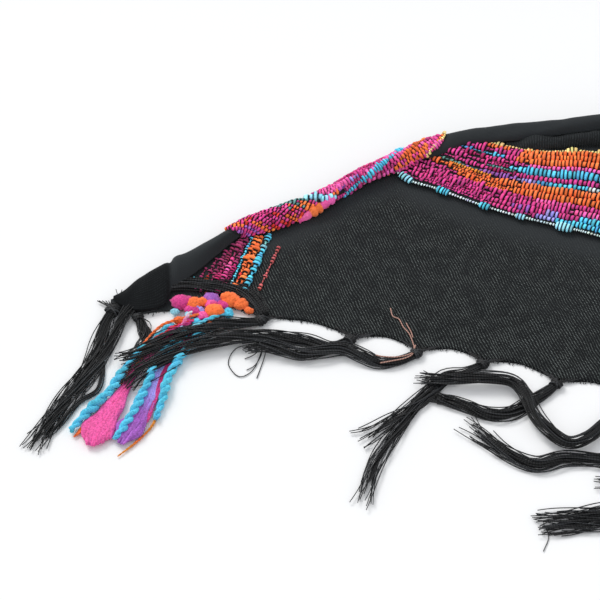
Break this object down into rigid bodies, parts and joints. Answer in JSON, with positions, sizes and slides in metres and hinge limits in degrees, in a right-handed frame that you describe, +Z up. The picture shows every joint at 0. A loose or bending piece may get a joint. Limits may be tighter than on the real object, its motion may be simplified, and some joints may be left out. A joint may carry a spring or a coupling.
{
  "type": "rebozo shawl",
  "caption": "Long black cotton shawl with a space-dyed slub band and knotted fringe, its end laid flat and its length gathered over it.",
  "frame": {"origin": "on the underside of the flat near end, on the surface it rests on, a little in from the fringed edge", "axes": "+Z up from the surface; +X along the shawl's longest extent, from the near tip towards the turn; +Y from the near fringe towards the far end"},
  "size_m": [1.0117, 0.6236, 0.0212],
  "materials": {
    "black_cotton": "matte loosely woven cotton gauze",
    "slub_yarn": "soft space-dyed slub yarn in pink, orange, aqua and purple"
  },
  "bodies": {
    "root": {"end_panel": "black_cotton", "turned_corner": "black_cotton", "top_fold": "black_cotton", "second_fold": "black_cotton", "folds_out": "black_cotton", "folds_turn_1": "black_cotton", "folds_turn_2": "black_cotton", "folds_back": "black_cotton", "folds_far": "black_cotton", "hidden_layers": "black_cotton", "tassel_tip": "black_cotton", "tassel_corner": "black_cotton", "tassel_crossing_1": "black_cotton", "tassel_crossing_2": "black_cotton", "tassel_under": "black_cotton", "tassel_right_1": "black_cotton", "tassel_right_2": "black_cotton", "tassel_right_3": "black_cotton", "tassel_right_4": "black_cotton", "tassel_right_5": "black_cotton", "tassel_right_6": "black_cotton", "tassel_next_1": "black_cotton", "tassel_next_2": "black_cotton", "tassel_next_3": "black_cotton", "tassel_next_4": "black_cotton", "tassel_next_5": "black_cotton", "tassel_next_6": "black_cotton", "tassel_next_7": "black_cotton", "tassel_next_8": "black_cotton", "far_fringe_1": "black_cotton", "far_fringe_2": "black_cotton", "far_fringe_3": "black_cotton", "rolled_band": "slub_yarn", "band_panel": "slub_yarn", "band_out": "slub_yarn", "band_turn_1": "slub_yarn", "band_turn_2": "slub_yarn", "band_back": "slub_yarn", "band_far": "slub_yarn", "slub_fringe": "slub_yarn"}
  },
  "joints": []
}
